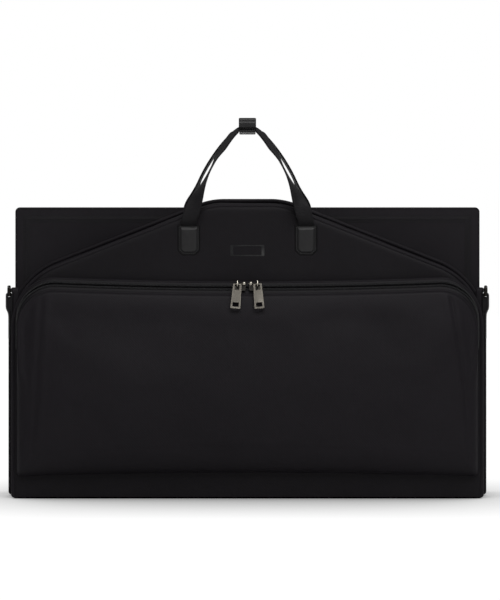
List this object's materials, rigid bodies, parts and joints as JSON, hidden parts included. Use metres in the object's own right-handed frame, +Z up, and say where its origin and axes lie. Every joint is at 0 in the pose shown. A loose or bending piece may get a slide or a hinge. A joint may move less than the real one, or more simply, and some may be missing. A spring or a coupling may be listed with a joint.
{
  "type": "garment bag",
  "caption": "Folded garment bag: shoulder-shaped front half with a zipped pocket, straight rear half, webbing handles held by a wrap, side rings and a stowed hanging hook.",
  "frame": {"origin": "on the ground under the middle of the bottom panel", "axes": "+X across the bag, +Y from the pocket side to the rear half, +Z up to the handles"},
  "size_m": [0.6146, 0.1447, 0.481],
  "materials": {
    "shell_cloth": "dense black ballistic weave, padded",
    "lining": "matt black lining cloth",
    "board": "stiff sheet",
    "webbing": "black woven webbing",
    "leather": "black grained leather with stitched edges",
    "zip_tape": "black twill tape",
    "zip_teeth": "black coil",
    "pewter": "satin pewter plating",
    "steel": "satin nickel plating",
    "badge": "bare dark satin plate",
    "buckle": "moulded black"
  },
  "bodies": {
    "base": {"base_panel": "shell_cloth", "front_welt": "shell_cloth", "rear_welt": "shell_cloth"},
    "front_half": {"front_panel": "shell_cloth", "front_board": "board", "front_gusset": "shell_cloth", "front_flap": "lining", "front_main_zip": "zip_tape", "front_piping": "shell_cloth", "front_rim_piping": "shell_cloth", "front_handle_patches": "leather", "badge_plate": "badge", "pocket_shell": "shell_cloth", "pocket_upper_tape": "zip_tape", "pocket_lower_tape": "zip_tape", "pocket_upper_teeth": "zip_teeth", "pocket_lower_teeth": "zip_teeth", "side_tab_left": "webbing", "side_tab_right": "webbing", "hook_bracket": "steel", "hook_rivet": "steel", "hanger_bracket": "steel", "hanger_bar": "steel"},
    "rear_half": {"rear_panel": "shell_cloth", "rear_board": "board", "rear_gusset": "shell_cloth", "rear_flap": "lining", "rear_main_zip": "zip_tape", "rear_piping": "shell_cloth", "rear_rim_piping": "shell_cloth", "rear_handle_patches": "leather", "garment_strap": "webbing", "strap_buckle": "buckle"},
    "front_handle": {"front_handle_strap": "webbing", "front_wrap": "leather", "front_wrap_magnet": "steel"},
    "rear_handle": {"rear_handle_strap": "webbing", "rear_wrap": "leather", "rear_wrap_magnet": "steel"},
    "slider_left": {"zip_slider_left": "pewter"},
    "slider_right": {"zip_slider_right": "pewter"},
    "pull_left": {"zip_pull_left": "pewter"},
    "pull_right": {"zip_pull_right": "pewter"},
    "ring_left": {"d_ring_left": "pewter"},
    "ring_right": {"d_ring_right": "pewter"},
    "hook": {"hanging_hook": "steel"},
    "main_slider_left": {"main_zip_slider_left": "pewter"},
    "main_slider_right": {"main_zip_slider_right": "pewter"}
  },
  "joints": [
    {"name": "front_fold", "type": "hinge", "parent": "base", "child": "front_half", "pos_m": [0, -0.048, 0.003], "axis": [1, 0, 0], "range_deg": [0, 82]},
    {"name": "rear_fold", "type": "hinge", "parent": "base", "child": "rear_half", "pos_m": [0, 0.048, 0.003], "axis": [-1, 0, 0], "range_deg": [0, 88]},
    {"name": "front_handle_swing", "type": "hinge", "parent": "front_half", "child": "front_handle", "pos_m": [0, -0.0523, 0.3443], "axis": [1, 0, 0], "range_deg": [0, 75]},
    {"name": "rear_handle_swing", "type": "hinge", "parent": "rear_half", "child": "rear_handle", "pos_m": [0, 0.0523, 0.3443], "axis": [-1, 0, 0], "range_deg": [0, 90]},
    {"name": "slider_left_slide", "type": "slide", "parent": "front_half", "child": "slider_left", "axis": [-0.9999, 0, 0.0127], "range_m": [0, 0.13]},
    {"name": "slider_right_slide", "type": "slide", "parent": "front_half", "child": "slider_right", "axis": [0.9999, 0, 0.0127], "range_m": [0, 0.13]},
    {"name": "pull_left_swing", "type": "hinge", "parent": "slider_left", "child": "pull_left", "pos_m": [-0.0125, -0.06946, 0.26854], "axis": [-0.9962, 0, 0.0872], "range_deg": [0, 160]},
    {"name": "pull_right_swing", "type": "hinge", "parent": "slider_right", "child": "pull_right", "pos_m": [0.0125, -0.06946, 0.26854], "axis": [-0.9962, 0, -0.0872], "range_deg": [0, 160]},
    {"name": "ring_left_swing", "type": "hinge", "parent": "front_half", "child": "ring_left", "pos_m": [-0.3018, -0.02813, 0.255], "axis": [0.1809, -0.9835, 0], "range_deg": [0, 140]},
    {"name": "ring_right_swing", "type": "hinge", "parent": "front_half", "child": "ring_right", "pos_m": [0.3018, -0.02813, 0.255], "axis": [0.1809, 0.9835, 0], "range_deg": [0, 140]},
    {"name": "hook_turn", "type": "hinge", "parent": "front_half", "child": "hook", "pos_m": [0, 0.0002, 0.336], "axis": [0, 1, 0], "range_deg": [0, 180]},
    {"name": "main_slider_left_slide", "type": "slide", "parent": "rear_half", "child": "main_slider_left", "axis": [0, 0, 1], "range_m": [0, 0.2]},
    {"name": "main_slider_right_slide", "type": "slide", "parent": "rear_half", "child": "main_slider_right", "axis": [0, 0, 1], "range_m": [0, 0.2]}
  ]
}
